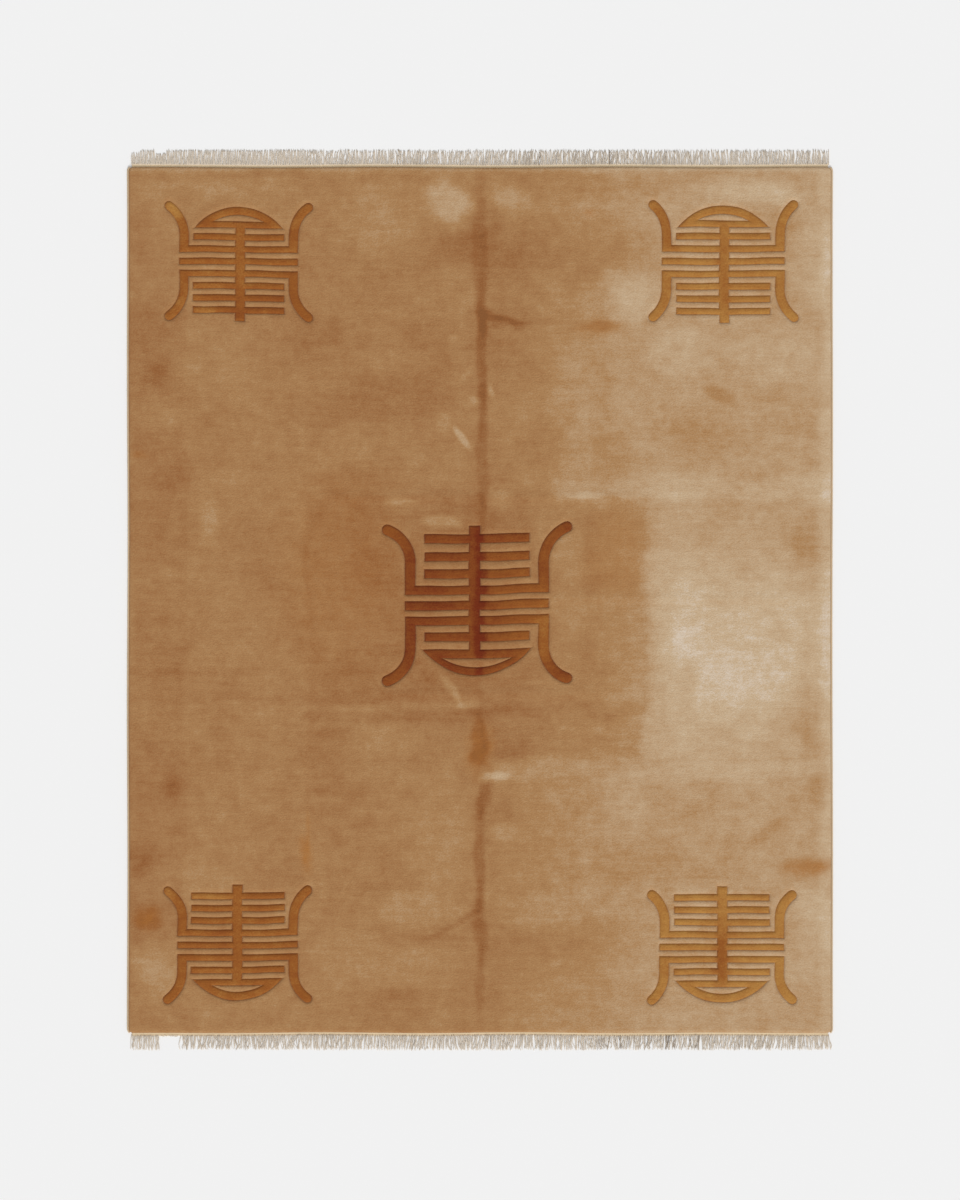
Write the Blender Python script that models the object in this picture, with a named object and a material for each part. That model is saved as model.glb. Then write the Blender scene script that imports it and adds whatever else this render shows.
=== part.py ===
"""A hand-knotted pile rug in the Chinese Deco manner, lying flat on the floor with its pile up.

It is one thick pile cloth, an overcast cord along each long side, and at each end the undyed warps, which run on
as a flat-woven band and its fringe. X runs across the rug, Y along it and Z up. The origin is on the floor under
the rug's middle.
"""

import math

import bmesh
import bpy

# Driving dimensions, in metres.
RUG_WIDTH = 2.44
RUG_LENGTH = 2.99
CLOTH_HEIGHT = 0.012
CORD_DIAMETER = 0.007
END_REACH = 0.062
BAND_DEPTH = 0.012
FRINGE_HEIGHT = 0.003
GAP = 0.0003

# The pile cloth.
FIRST_INSET, SECOND_INSET, THIRD_INSET = 0.003, 0.009, 0.020
EDGE_STEPS = (0.0, FIRST_INSET, SECOND_INSET, THIRD_INSET)
EDGE_DROPS = (0.0045, 0.0015, 0.0004, 0.0)
CORNER_RADIUS = 0.014
PILE_HALF_WIDTH = RUG_WIDTH / 2 - CORD_DIAMETER - GAP
PILE_HALF_LENGTH = RUG_LENGTH / 2
COLUMN_STEP = 0.11
ROW_STEP = 0.12

# The old folds in the cloth, each a soft trough (below zero) or ridge, fading out at its two ends.
FOLDS = (
    # line across, at, from, to, height, half width
    ("X", -0.003, -1.40, 1.45, -0.0022, 0.028),
    ("X", -0.612, -0.65, 0.20, 0.0010, 0.022),
    ("X", 0.582, -0.50, 0.42, 0.0010, 0.022),
    ("Y", 0.357, -0.62, 0.62, 0.0014, 0.026),
    ("Y", 0.005, 0.10, 1.15, 0.0012, 0.024),
    ("Y", -0.322, -0.40, 0.45, 0.0014, 0.026),
)
FOLD_FADE = 0.12
FOLD_SECTION = (-1.0, -0.5, 0.0, 0.5, 1.0)
CLEAR_OF_FOLD = 1.3

# How far each edge of the cloth wanders inwards from straight.
EDGE_WANDER = {
    # edge: depth, waves along it, phase
    "left": (0.0025, 2.5, 0.4),
    "right": (0.0020, 2.0, 2.1),
    "top": (0.0030, 3.0, 1.2),
    "bottom": (0.0030, 3.5, 0.3),
}

# The fringe.
TASSELS = 96
TASSEL_SHARE = 0.78
TASSEL_TIP_SHARE = 0.62
LEAN = 0.010
LEAN_WAVES = 9.0
UNEVEN_TIPS = 0.004
UNEVEN_STEP = 2.4
WORN = (
    # end, from, to, what is left of the fringe
    ("bottom", -1.115, -1.030, 0.22),
    ("top", -1.125, -1.085, 0.72),
)

# Colours: linear red, green, blue.
CAMEL_WOOL = (0.41, 0.23, 0.10)
PALE_WOOL = (0.52, 0.36, 0.20)
UNDYED_COTTON = (0.76, 0.66, 0.54)


def clear_scene():
    for thing in list(bpy.data.objects):
        bpy.data.objects.remove(thing, do_unlink=True)


def finish_for(name, colour, roughness):
    """A plain dull finish for one kind of yarn."""
    material = bpy.data.materials.new(name)
    material.use_nodes = True
    shader = material.node_tree.nodes["Principled BSDF"]
    shader.inputs["Base Color"].default_value = (*colour, 1.0)
    shader.inputs["Roughness"].default_value = roughness
    shader.inputs["Metallic"].default_value = 0.0
    return material


def stations(line_across, half, step):
    """Where the cloth's grid lines stand from -half to half: close at the edges and folds, wide between them."""
    inner = half - THIRD_INSET
    count = round(2 * inner / step)
    lines = [inner * (2 * i / count - 1) for i in range(1, count)]
    for fold_across, at, _, _, _, width in FOLDS:
        if fold_across == line_across:
            lines = [line for line in lines if abs(line - at) > CLEAR_OF_FOLD * width]
            lines += [at + width * share for share in FOLD_SECTION]
    edges = [half - inset for inset in EDGE_STEPS]
    return sorted(lines + edges + [-edge for edge in edges])


def wander(edge, along, half):
    """How far an edge lies inside its straight line, which it meets again at the corners."""
    depth, waves, phase = EDGE_WANDER[edge]
    share = along / half
    return depth * (1 - share**4) * (0.5 + 0.5 * math.sin(math.pi * waves * share + phase))


def half_width(y):
    """The cloth's reach to the left and to the right at y."""
    return (
        PILE_HALF_WIDTH - wander("left", y, PILE_HALF_LENGTH),
        PILE_HALF_WIDTH - wander("right", y, PILE_HALF_LENGTH),
    )


def half_length(x):
    """The cloth's reach to the bottom and to the top at x."""
    return (
        PILE_HALF_LENGTH - wander("bottom", x, PILE_HALF_WIDTH),
        PILE_HALF_LENGTH - wander("top", x, PILE_HALF_WIDTH),
    )


def round_corner(x, y):
    """Draws a point of the square-cornered cloth in, so that its corners are round."""
    across = abs(x) - (PILE_HALF_WIDTH - CORNER_RADIUS)
    along = abs(y) - (PILE_HALF_LENGTH - CORNER_RADIUS)
    if across <= 0 or along <= 0:
        return x, y
    shrink = max(across, along) / math.hypot(across, along)
    return (
        math.copysign(abs(x) - across * (1 - shrink), x),
        math.copysign(abs(y) - along * (1 - shrink), y),
    )


def edge_drop(x, y):
    """How far the pile rolls down near the cloth's edge."""
    inset = min(PILE_HALF_WIDTH - abs(x), PILE_HALF_LENGTH - abs(y))
    for near, far, high, low in zip(EDGE_STEPS, EDGE_STEPS[1:], EDGE_DROPS, EDGE_DROPS[1:]):
        if inset <= far:
            return high + (low - high) * max(0.0, inset - near) / (far - near)
    return 0.0


def fold_rise(x, y):
    """How far the folds lift the cloth's surface, or sink it."""
    rise = 0.0
    for line_across, at, start, end, height, width in FOLDS:
        off, along = (x - at, y) if line_across == "X" else (y - at, x)
        if abs(off) < width:
            inside = min(along - start, end - along)
            fade = min(1.0, max(0.0, inside / FOLD_FADE))
            rise += height * fade * 0.5 * (1 + math.cos(math.pi * off / width))
    return rise


def pile_cloth(columns, rows):
    """The knotted cloth: a grid that is the pile's surface, closed by a flat back on the floor."""
    mesh = bpy.data.meshes.new("pile_rug")
    shape = bmesh.new()
    bmesh.ops.create_grid(shape, x_segments=len(columns) - 1, y_segments=len(rows) - 1, size=1.0)
    for vert in shape.verts:
        column = round((vert.co.x + 1) / 2 * (len(columns) - 1))
        row = round((vert.co.y + 1) / 2 * (len(rows) - 1))
        flat_x, flat_y = columns[column], rows[row]
        x, y = round_corner(flat_x, flat_y)
        x *= half_width(y)[x > 0] / PILE_HALF_WIDTH
        y *= half_length(flat_x)[y > 0] / PILE_HALF_LENGTH
        vert.co = (x, y, CLOTH_HEIGHT - edge_drop(flat_x, flat_y) + fold_rise(flat_x, flat_y))
    made = bmesh.ops.extrude_face_region(shape, geom=shape.faces[:], use_keep_orig=True)
    for part in made["geom"]:
        if isinstance(part, bmesh.types.BMVert):
            part.co.z = 0.0
    bmesh.ops.recalc_face_normals(shape, faces=shape.faces[:])
    shape.to_mesh(mesh)
    shape.free()
    return bpy.data.objects.new("pile_rug", mesh)


def side_cord(name, side, rows):
    """The overcast cord along one long side: side is 0 for the left and 1 for the right."""
    curve = bpy.data.curves.new(name, "CURVE")
    curve.dimensions = "3D"
    curve.bevel_depth = CORD_DIAMETER / 2
    curve.bevel_resolution = 2
    curve.use_fill_caps = True
    line = curve.splines.new("POLY")
    line.points.add(len(rows) - 1)
    out = 1 if side else -1
    for point, y in zip(line.points, rows):
        reach = half_width(y)[side] + GAP + CORD_DIAMETER / 2
        point.co = (out * reach, y, CORD_DIAMETER / 2, 1.0)
    return bpy.data.objects.new(name, curve)


def fringe_left(end, x):
    """What wear has left of the fringe at x, as a share of its length."""
    return min([left for where, start, stop, left in WORN if where == end and start < x < stop], default=1.0)


def end_comb(name, end, columns):
    """The warps past one end of the pile: a band along the cloth's edge, and its tassels, as one comb."""
    out, side = (1, 1) if end == "top" else (-1, 0)
    edge = [(x, half_length(x)[side] + GAP) for x in columns if abs(x) < PILE_HALF_WIDTH - CORNER_RADIUS / 2]
    first, last = edge[0][0], edge[-1][0]
    pitch = (last - first) / TASSELS
    outline = [(x, out * y) for x, y in edge]
    for i in reversed(range(TASSELS)):
        middle = first + (i + 0.5) * pitch
        root = half_length(middle)[side] + BAND_DEPTH
        uneven = UNEVEN_TIPS * (0.5 + 0.5 * math.sin(UNEVEN_STEP * i + side))
        reach = END_REACH - BAND_DEPTH - uneven
        tip = root + reach * fringe_left(end, middle)
        lean = LEAN * math.sin(LEAN_WAVES * middle + side)
        wide, narrow = TASSEL_SHARE * pitch / 2, TASSEL_TIP_SHARE * pitch / 2
        outline += [
            (middle + wide, out * root),
            (middle + lean + narrow, out * tip),
            (middle + lean - narrow, out * tip),
            (middle - wide, out * root),
        ]
    curve = bpy.data.curves.new(name, "CURVE")
    curve.dimensions = "2D"
    curve.fill_mode = "BOTH"
    curve.extrude = FRINGE_HEIGHT / 2
    line = curve.splines.new("POLY")
    line.points.add(len(outline) - 1)
    for point, (x, y) in zip(line.points, outline):
        point.co = (x, y, 0.0, 1.0)
    line.use_cyclic_u = True
    comb = bpy.data.objects.new(name, curve)
    comb.location.z = FRINGE_HEIGHT / 2
    return comb


def main():
    clear_scene()
    collection = bpy.data.collections.new("deco_rug")
    bpy.context.scene.collection.children.link(collection)
    camel = finish_for("camel_wool", CAMEL_WOOL, 0.9)
    pale = finish_for("pale_wool", PALE_WOOL, 0.9)
    cotton = finish_for("undyed_cotton", UNDYED_COTTON, 0.95)
    columns = stations("X", PILE_HALF_WIDTH, COLUMN_STEP)
    rows = stations("Y", PILE_HALF_LENGTH, ROW_STEP)
    pieces = (
        (pile_cloth(columns, rows), camel),
        (side_cord("side_cord_left", 0, rows), pale),
        (side_cord("side_cord_right", 1, rows), pale),
        (end_comb("fringe_top", "top", columns), cotton),
        (end_comb("fringe_bottom", "bottom", columns), cotton),
    )
    for piece, finish in pieces:
        piece.data.materials.append(finish)
        collection.objects.link(piece)


main()
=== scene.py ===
"""Dresses a packed pile rug of the Chinese Deco kind: carved wool pile, medallions, side cords and fringed ends.

X runs across the rug, Y along it and Z up, in metres. Every piece is one closed mesh with a procedural finish.
"""

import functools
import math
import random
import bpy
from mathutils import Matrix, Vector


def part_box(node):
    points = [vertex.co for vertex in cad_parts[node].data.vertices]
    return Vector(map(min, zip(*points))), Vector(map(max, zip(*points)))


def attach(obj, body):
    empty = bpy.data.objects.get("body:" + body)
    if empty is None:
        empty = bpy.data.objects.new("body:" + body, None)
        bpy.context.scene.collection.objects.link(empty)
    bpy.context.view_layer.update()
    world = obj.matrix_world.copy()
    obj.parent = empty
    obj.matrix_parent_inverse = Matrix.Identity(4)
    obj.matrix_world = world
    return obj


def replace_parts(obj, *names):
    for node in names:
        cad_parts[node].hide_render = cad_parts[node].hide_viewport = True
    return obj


bl_info = {
    "name": "Deco Rug",
    "version": (1, 0, 0),
    "blender": (4, 5, 0),
    "location": "View3D > Sidebar > Deco Rug",
    "description": "Builds a carved wool pile rug with five medallions, corded sides and fringed ends",
    "category": "Add Mesh",
}

import bpy
import numpy as np
from mathutils import Vector, noise
from mathutils.geometry import delaunay_2d_cdt

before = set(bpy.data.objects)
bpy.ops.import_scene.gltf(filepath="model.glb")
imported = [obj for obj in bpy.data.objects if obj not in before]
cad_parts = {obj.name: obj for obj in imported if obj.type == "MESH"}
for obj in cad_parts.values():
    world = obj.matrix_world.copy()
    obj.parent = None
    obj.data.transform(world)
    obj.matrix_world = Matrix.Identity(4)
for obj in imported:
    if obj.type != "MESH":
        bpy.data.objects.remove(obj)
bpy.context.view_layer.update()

# What the frame gives: how far the pile, its cords and its fringes reach.
PILE_HALF_WIDTH = max(abs(corner.x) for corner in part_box("pile_rug"))
PILE_HALF_LENGTH = max(abs(corner.y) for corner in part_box("pile_rug"))
CORD_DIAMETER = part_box("side_cord_left")[1].z
FRINGE_REACH = max(abs(corner.y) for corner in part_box("fringe_top")) - PILE_HALF_LENGTH

# How far each edge of the cloth wanders inwards from straight.
EDGE_WANDER = {
    # edge: depth, waves along it, phase
    "left": (0.0025, 2.5, 0.4),
    "right": (0.0020, 2.0, 2.1),
    "top": (0.0030, 3.0, 1.2),
    "bottom": (0.0030, 3.5, 0.3),
}
CORNER_RADIUS = 0.014
EDGE_INSETS = (0.0, 0.0018, 0.0045, 0.009, 0.016)
EDGE_DROPS = (0.0050, 0.0022, 0.0009, 0.0003, 0.0)

# The old folds in the cloth, each a soft trough (below zero) or ridge, fading out at its two ends.
FOLDS = (
    # line across, at, from, to, height, half width
    ("X", -0.003, -1.40, 1.45, -0.0022, 0.028),
    ("X", -0.612, -0.65, 0.20, 0.0010, 0.022),
    ("X", 0.582, -0.50, 0.42, 0.0010, 0.022),
    ("Y", 0.357, -0.62, 0.62, 0.0014, 0.026),
    ("Y", 0.005, 0.10, 1.15, 0.0012, 0.024),
    ("Y", -0.322, -0.40, 0.45, 0.0014, 0.026),
)
FOLD_FADE = 0.12

# How far the knots stray from the plan, over what distance, and how far in from the edge they are free to.
STRAY = 0.0030
STRAY_SIZE = 0.10
STRAY_INSET = 0.08

# How far the patches' edges are ragged, on a coarse and a fine scale, and the patch size that is fully so.
RAGGED_COARSE, COARSE_SIZE = 0.030, 0.13
RAGGED_FINE, FINE_SIZE = 0.014, 0.035
RAGGED_FROM = 0.05

# The unevenness of the pile's top, on a coarse and a fine scale.
UNEVEN_COARSE, UNEVEN_COARSE_SIZE = 0.00030, 0.09
UNEVEN_FINE, UNEVEN_FINE_SIZE = 0.00018, 0.03

# The mesh: half width of the close columns at the crease, and what is kept clear beside the carving's shoulder.
CREASE_HALF_WIDTH = 0.099
FIELD_CLEARANCE = 0.003
MOTIF_CLEARANCE = 0.002
SHARP_ANGLE = 38

# The back shows at this height and below it.
BACK_HEIGHT = 0.0006
KNOT_PITCH = 0.0042

CORD_SIDES = 8
RINGS_A_WRAP = 3
YARN_RINGS, YARN_SIDES = 9, 5
SIDE_CLEARANCE = 0.006
BAND_INSET = 0.010
BAND_STEP = 0.005
BAND_PARTS = 8

FLOOR_HALF = 20.0
FLOOR_HEIGHT = -0.0004
KEY_ANGLE = 25
TOWARDS_KEY = (0.25, -1.0, 0.9)

# The medallions. Rows of bars stand one pitch apart on a stem, a little further apart outwards by the spread, and
# the bowl side is 1 where the bowl is uppermost. Reaches are half widths, measured from the middle.
MEDALLIONS = {
    "top_left": dict(
        x=-0.834, y=1.1725, bowl_side=1, lift=-0.004, stem_shift=0.005, tone=0.42, pitch=0.0421, spread=0.0,
        bar=0.0223, long_reach=0.2055, short_reach=0.158, horn_reach=0.256, horn_rise=0.160, horn_run=0.050,
        bowl_reach=0.152, mouth_reach=0.086,
    ),
    "top_right": dict(
        x=0.841, y=1.172, bowl_side=1, lift=0.0, stem_shift=0.003, tone=0.64, pitch=0.0432, spread=0.0,
        bar=0.0228, long_reach=0.2125, short_reach=0.1625, horn_reach=0.258, horn_rise=0.164, horn_run=0.052,
        bowl_reach=0.156, mouth_reach=0.088,
    ),
    "bottom_left": dict(
        x=-0.838, y=-1.1925, bowl_side=-1, lift=0.002, stem_shift=-0.001, tone=0.41, pitch=0.0427, spread=0.0,
        bar=0.0226, long_reach=0.208, short_reach=0.162, horn_reach=0.257, horn_rise=0.158, horn_run=0.048,
        bowl_reach=0.155, mouth_reach=0.087,
    ),
    "bottom_right": dict(
        x=0.8355, y=-1.1997, bowl_side=-1, lift=0.0, stem_shift=0.002, tone=0.67, pitch=0.0427, spread=0.0,
        bar=0.0226, long_reach=0.2155, short_reach=0.1655, horn_reach=0.258, horn_rise=0.152, horn_run=0.048,
        bowl_reach=0.158, mouth_reach=0.089,
    ),
    "centre": dict(
        x=-0.0105, y=-0.019, bowl_side=-1, lift=0.009, stem_shift=-0.0085, tone=0.20, pitch=0.0513, spread=0.0016,
        bar=0.0308, long_reach=0.2485, short_reach=0.182, horn_reach=0.328, horn_rise=0.222, horn_run=0.092,
        bowl_reach=0.1875, mouth_reach=0.120,
    ),
}

# The field's tone, from 0, deep camel, to 1, pale beige: a slope from the left side to the right, and on it the
# worn, soiled and faded places and the painted sheen and shade of the brushed nap, each by its middle and its half
# sizes.
LEFT_TONE, RIGHT_TONE = 0.35, 0.58
TONE_SLOPE = (-0.05, 0.75)
NAP_WEAR_AND_SHADE = (
    # shape, x, y, half width, half height, turn, softness, tone
    # the middle, darker in a square
    ("square", -0.01, -0.02, 0.59, 0.385, 0, 0.04, -0.09),
    ("square", 0.47, 0.16, 0.11, 0.15, 0, 0.15, -0.05),
    ("oval", 0.45, 0.07, 0.13, 0.03, 0, 0.5, -0.06),
    ("oval", 0.31, -0.05, 0.07, 0.16, 0, 0.5, 0.07),
    ("oval", 0.3, 0.15, 0.06, 0.11, 0, 0.5, 0.06),
    ("oval", -0.5, 0.37, 0.13, 0.02, -35, 0.5, -0.06),
    ("oval", -0.42, 0.42, 0.09, 0.05, 0, 0.6, -0.08),
    ("oval", -0.38, 0.2, 0.08, 0.16, 0, 0.6, -0.06),
    ("oval", -0.63, -0.05, 0.07, 0.1, 0, 0.6, -0.05),
    ("square", 0.27, -0.46, 0.29, 0.09, 0, 0.25, -0.08),
    ("oval", 0.08, -0.53, 0.12, 0.03, 10, 0.5, -0.12),
    # the top end
    ("oval", 0.25, 1.22, 0.33, 0.1, 0, 0.6, -0.13),
    ("oval", -0.09, 1.21, 0.11, 0.06, 0, 0.6, -0.07),
    ("oval", 0.53, 1.06, 0.09, 0.09, 0, 0.5, 0.16),
    ("oval", 0.36, 1.11, 0.08, 0.035, 30, 0.5, -0.08),
    ("oval", -0.11, 1.37, 0.065, 0.08, 20, 0.6, 0.26),
    ("oval", 0.1, 1.38, 0.07, 0.06, -20, 0.6, 0.18),
    ("oval", -0.36, 1.31, 0.16, 0.12, 0, 0.7, 0.09),
    ("oval", 0.95, 1.41, 0.17, 0.045, 0, 0.6, 0.2),
    ("oval", 1.15, 1.2, 0.06, 0.16, 0, 0.6, 0.12),
    ("oval", -0.85, 1.43, 0.2, 0.03, 0, 0.6, 0.08),
    ("oval", -1.13, 1.4, 0.05, 0.04, 0, 0.6, 0.06),
    ("oval", -1.17, 1.3, 0.035, 0.12, 0, 0.6, -0.08),
    ("square", 0.0, 1.49, 1.25, 0.01, 0, 0.6, 0.16),
    # the upper left
    ("oval", -1.13, 0.97, 0.1, 0.2, 0, 0.6, -0.06),
    ("oval", -1.11, 0.79, 0.06, 0.05, 0, 0.6, -0.12),
    ("oval", -1.1, 0.63, 0.1, 0.035, 0, 0.6, 0.11),
    ("oval", -0.9, 0.88, 0.16, 0.11, 0, 0.7, 0.05),
    ("square", -0.31, 0.93, 0.33, 0.06, 0, 0.4, -0.05),
    ("oval", -0.33, 0.68, 0.27, 0.1, 8, 0.7, -0.09),
    ("oval", -0.5, 0.87, 0.12, 0.08, 0, 0.7, -0.05),
    ("oval", -1.07, 0.42, 0.05, 0.04, 0, 0.7, -0.09),
    ("oval", -0.93, 0.28, 0.03, 0.06, 0, 0.6, 0.11),
    ("oval", -1.05, 0.09, 0.09, 0.025, 0, 0.6, 0.08),
    ("square", -1.11, -0.1, 0.1, 1.15, 0, 0.08, -0.06),
    # the upper right
    ("oval", 0.41, 0.945, 0.06, 0.018, 6, 0.5, -0.22),
    ("oval", 0.07, 0.972, 0.095, 0.014, -14, 0.5, -0.22),
    ("oval", 0.3, 0.962, 0.25, 0.008, 0, 0.6, -0.07),
    ("oval", 0.07, 0.92, 0.05, 0.018, 0, 0.6, 0.1),
    ("square", 0.13, 0.86, 0.09, 0.13, 0, 0.4, -0.04),
    ("oval", 0.32, 0.72, 0.08, 0.19, 0, 0.5, 0.09),
    ("oval", 0.69, 0.87, 0.09, 0.1, 0, 0.6, 0.12),
    ("oval", 1.05, 0.85, 0.14, 0.08, 0, 0.6, 0.1),
    ("oval", 0.83, 0.71, 0.055, 0.025, -25, 0.5, -0.16),
    ("oval", 0.75, 0.57, 0.13, 0.05, 0, 0.6, -0.09),
    ("oval", 0.2, 0.5, 0.07, 0.09, 0, 0.6, -0.06),
    # pale strips along the fold's ridge near y 0.36: painted highlight
    ("square", 0.75, 0.385, 0.5, 0.045, 0, 0.4, 0.1),
    ("oval", 0.36, 0.365, 0.06, 0.012, 0, 0.6, 0.14),
    ("oval", 0.7, 0.36, 0.08, 0.015, 0, 0.6, 0.09),
    ("oval", 1.15, 0.2, 0.07, 0.07, 0, 0.6, -0.1),
    # the paler right side
    ("oval", 0.95, -0.1, 0.33, 0.26, 0, 0.5, 0.19),
    ("oval", 0.85, -0.38, 0.32, 0.2, 0, 0.6, 0.13),
    ("oval", 0.67, 0.05, 0.09, 0.3, 0, 0.5, 0.1),
    ("oval", 1.12, -0.28, 0.02, 0.25, 0, 0.6, -0.06),
    ("oval", 0.72, -0.28, 0.022, 0.08, 0, 0.6, -0.08),
    ("oval", 1.15, -0.48, 0.06, 0.06, 0, 0.6, -0.08),
    ("oval", 1.17, -0.66, 0.035, 0.06, 0, 0.5, -0.13),
    ("square", 0.6, -0.595, 0.56, 0.03, 0, 0.5, 0.06),
    ("oval", 0.5, -0.68, 0.08, 0.07, 0, 0.6, 0.09),
    ("oval", 0.99, -0.81, 0.09, 0.022, 35, 0.6, -0.12),
    ("oval", 1.13, -0.92, 0.085, 0.03, 8, 0.5, -0.16),
    ("square", 0.65, -0.9, 0.26, 0.07, 0, 0.4, -0.06),
    ("oval", 1.14, -1.07, 0.07, 0.07, 0, 0.6, 0.12),
    ("oval", 1.12, -1.25, 0.08, 0.09, 0, 0.6, 0.05),
    # a pale strip along the right edge: painted highlight of the nap
    ("square", 1.2, 0.0, 0.026, 1.48, 0, 0.8, 0.16),
    # the bottom end
    ("oval", 0.3, -1.06, 0.22, 0.05, 0, 0.6, 0.05),
    ("oval", 0.3, -1.19, 0.25, 0.05, 0, 0.6, -0.06),
    ("oval", -0.22, -1.07, 0.14, 0.055, 0, 0.5, 0.12),
    ("oval", -0.14, -0.82, 0.11, 0.19, 0, 0.6, 0.09),
    ("oval", -0.25, -1.28, 0.12, 0.06, 0, 0.6, 0.08),
    ("oval", -0.47, -1.25, 0.11, 0.11, 0, 0.6, 0.11),
    ("oval", -1.11, -1.27, 0.08, 0.09, 0, 0.6, 0.17),
    ("oval", -1.15, -1.1, 0.045, 0.038, 0, 0.5, -0.2),
    ("oval", -1.17, -0.9, 0.06, 0.05, 0, 0.6, -0.12),
    ("oval", -1.07, -0.65, 0.035, 0.042, 0, 0.6, -0.12),
    # thin dark and pale lines along the fold near y -0.33: painted shade and highlight of the crease
    ("oval", -0.8, -0.25, 0.45, 0.014, 0, 0.7, -0.06),
    ("oval", -0.65, -0.34, 0.4, 0.015, 0, 0.7, -0.05),
    ("oval", -0.3, -0.37, 0.27, 0.012, 1, 0.6, 0.13),
    ("oval", -0.3, -0.415, 0.26, 0.012, 0, 0.6, -0.09),
    ("oval", -0.5, -0.5, 0.09, 0.06, 0, 0.6, -0.06),
    ("oval", -0.5, -0.66, 0.25, 0.016, 0, 0.7, -0.05),
    ("oval", -0.28, -1.36, 0.12, 0.025, 0, 0.6, -0.06),
    # the crease down the middle: painted shade in its trough
    ("oval", 0.01, 0.35, 0.06, 1.05, 0, 0.7, -0.04),
    ("oval", 0.0, 1.2, 0.022, 0.29, 0, 0.5, -0.12),
    ("oval", 0.004, 0.85, 0.018, 0.23, 0, 0.5, -0.17),
    ("oval", 0.008, 0.5, 0.018, 0.26, 0, 0.5, -0.14),
    ("oval", -0.005, -0.5, 0.028, 0.1, 0, 0.5, -0.22),
    ("oval", 0.01, -0.69, 0.024, 0.07, -20, 0.5, -0.2),
    ("oval", 0.002, -0.9, 0.018, 0.17, 0, 0.5, -0.17),
    ("oval", 0.0, -1.13, 0.028, 0.11, 0, 0.5, -0.19),
    ("oval", 0.0, -1.33, 0.014, 0.11, 0, 0.5, -0.1),
    ("oval", -0.09, -1.12, 0.1, 0.01, 32, 0.5, -0.15),
    ("oval", -0.15, -1.165, 0.15, 0.01, 0, 0.6, -0.09),
    # the pale scuffs beside the creases: painted highlight, with some rubbed pile
    ("oval", -0.13, 0.62, 0.03, 0.035, 0, 0.6, 0.14),
    ("oval", -0.06, 0.56, 0.045, 0.012, -50, 0.5, 0.28),
    ("oval", -0.03, 0.69, 0.018, 0.018, 0, 0.6, 0.18),
    ("oval", 0.035, 0.72, 0.01, 0.03, 20, 0.6, 0.15),
    ("oval", -0.05, 0.78, 0.03, 0.01, 40, 0.6, 0.13),
    ("oval", -0.09, 0.9, 0.02, 0.011, 0, 0.6, 0.15),
    ("oval", -0.13, 0.265, 0.06, 0.02, 0, 0.5, 0.28),
    ("oval", -0.28, 0.34, 0.05, 0.012, 4, 0.5, 0.22),
    ("oval", 0.065, 0.345, 0.045, 0.045, 0, 0.5, 0.14),
    ("oval", -0.1, -0.31, 0.06, 0.014, -55, 0.5, 0.22),
    ("oval", -0.04, -0.36, 0.04, 0.012, 10, 0.6, 0.15),
    ("oval", 0.05, -0.61, 0.05, 0.015, 8, 0.5, 0.28),
    ("oval", 0.08, -0.8, 0.045, 0.03, 0, 0.6, 0.12),
)

# Where the wool has turned orange-brown.
STAINS = (
    # shape, x, y, half width, half height, turn, softness, strength
    ("oval", -0.6, -0.88, 0.02, 0.055, 10, 0.7, 0.55),
    ("oval", -0.595, -0.8, 0.006, 0.06, 0, 0.7, 0.35),
    ("oval", -1.18, 0.5, 0.03, 0.007, 0, 0.7, 0.45),
    ("oval", 0.38, 1.337, 0.02, 0.012, 0, 0.7, 0.4),
    ("oval", 0.41, 0.945, 0.07, 0.022, 6, 0.7, 0.35),
    ("oval", -1.15, -1.1, 0.04, 0.035, 0, 0.7, 0.5),
    ("oval", 1.15, -0.925, 0.08, 0.03, 8, 0.7, 0.45),
    ("oval", 0.0, -0.52, 0.04, 0.08, 0, 0.7, 0.4),
    ("oval", -0.48, 0.1, 0.2, 0.3, 0, 0.8, 0.18),
    ("oval", 0.48, 0.15, 0.11, 0.14, 0, 0.7, 0.2),
)

# The same for the medallions' own wool, worn places and painted nap sheen and shade alike.
MOTIF_NAP_WEAR_AND_SHADE = (
    # shape, x, y, half width, half height, turn, softness, tone
    ("oval", 0.16, -0.03, 0.09, 0.24, 0, 0.7, 0.12),
    ("oval", 0.225, -0.1, 0.04, 0.12, 0, 0.7, 0.16),
    # the middle crease across the centre medallion: painted shade
    ("oval", 0.0, -0.02, 0.022, 0.3, 0, 0.5, -0.2),
    ("oval", -0.19, 0.0, 0.07, 0.25, 0, 0.7, -0.04),
    ("oval", -1.055, 1.355, 0.035, 0.045, 0, 0.7, 0.28),
    ("oval", -0.95, 1.0, 0.04, 0.02, 0, 0.7, 0.14),
    ("oval", -0.81, 1.03, 0.15, 0.05, 0, 0.8, -0.08),
    ("oval", 0.64, 1.3, 0.05, 0.09, 0, 0.8, -0.22),
    ("oval", 0.84, 1.16, 0.02, 0.16, 0, 0.8, -0.12),
    ("oval", 0.83, -1.25, 0.025, 0.09, 0, 0.8, -0.25),
    ("oval", -0.93, -1.03, 0.06, 0.016, 0, 0.8, 0.18),
    ("oval", -1.07, -1.02, 0.03, 0.04, 0, 0.8, 0.08),
)
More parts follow.
